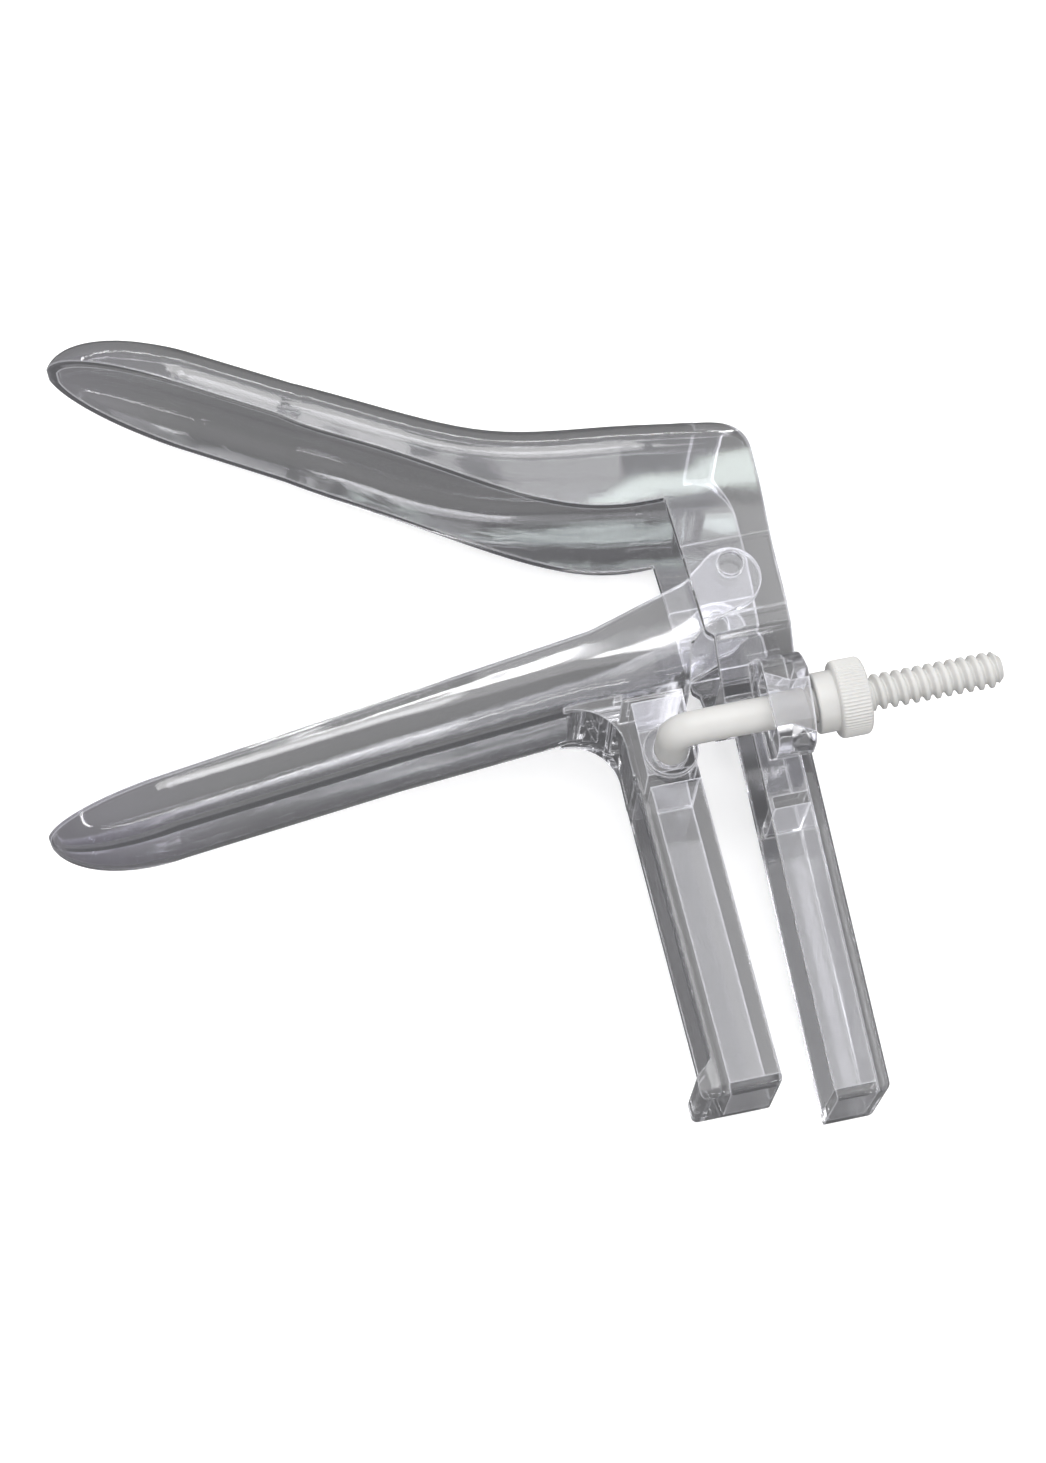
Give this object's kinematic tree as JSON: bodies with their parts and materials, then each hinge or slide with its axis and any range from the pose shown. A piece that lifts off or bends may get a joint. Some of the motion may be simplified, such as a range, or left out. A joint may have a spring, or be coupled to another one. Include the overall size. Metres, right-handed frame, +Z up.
{
  "type": "bivalve speculum",
  "caption": "Clear plastic bivalve speculum with two hinged blades, channel handles, and a white side screw whose nut holds the blades open.",
  "frame": {"origin": "on the hinge axis, on the outer face of the lower hinge pad, which the instrument rests on when it lies on its side", "axes": "+X towards the user (the blade tips are at -X), +Y from the handles towards the upper blade, +Z up from the resting side to the screw side"},
  "size_m": [0.1518, 0.1509, 0.0416],
  "materials": {
    "clear_plastic": "clear, polished mould surface",
    "white_plastic": "white, smooth, slightly translucent"
  },
  "bodies": {
    "lower": {"lower_blade_front_handle": "clear_plastic"},
    "upper": {"upper_blade_rear_handle": "clear_plastic"},
    "rod": {"screw_rod": "white_plastic"},
    "nut": {"knurled_nut": "white_plastic"}
  },
  "joints": [
    {"name": "blade_hinge", "type": "hinge", "parent": "lower", "child": "upper", "pos_m": [0, 0, 0.016], "axis": [0, 0, 1], "range_deg": [-2.5, 40]},
    {"name": "rod_swing", "type": "hinge", "parent": "lower", "child": "rod", "pos_m": [-0.0156, -0.0272, 0.0202], "axis": [0, 0, 1], "range_deg": [-0.9, 12.8]},
    {"name": "nut_travel", "type": "slide", "parent": "rod", "child": "nut", "axis": [1, 0, 0], "range_m": [-0.0014, 0.0209]}
  ],
  "couplings": [
    {"joint": "rod_swing", "follows": "blade_hinge", "ratio": 0.316},
    {"joint": "nut_travel", "follows": "blade_hinge", "m_per_rad": 0.02951}
  ]
}
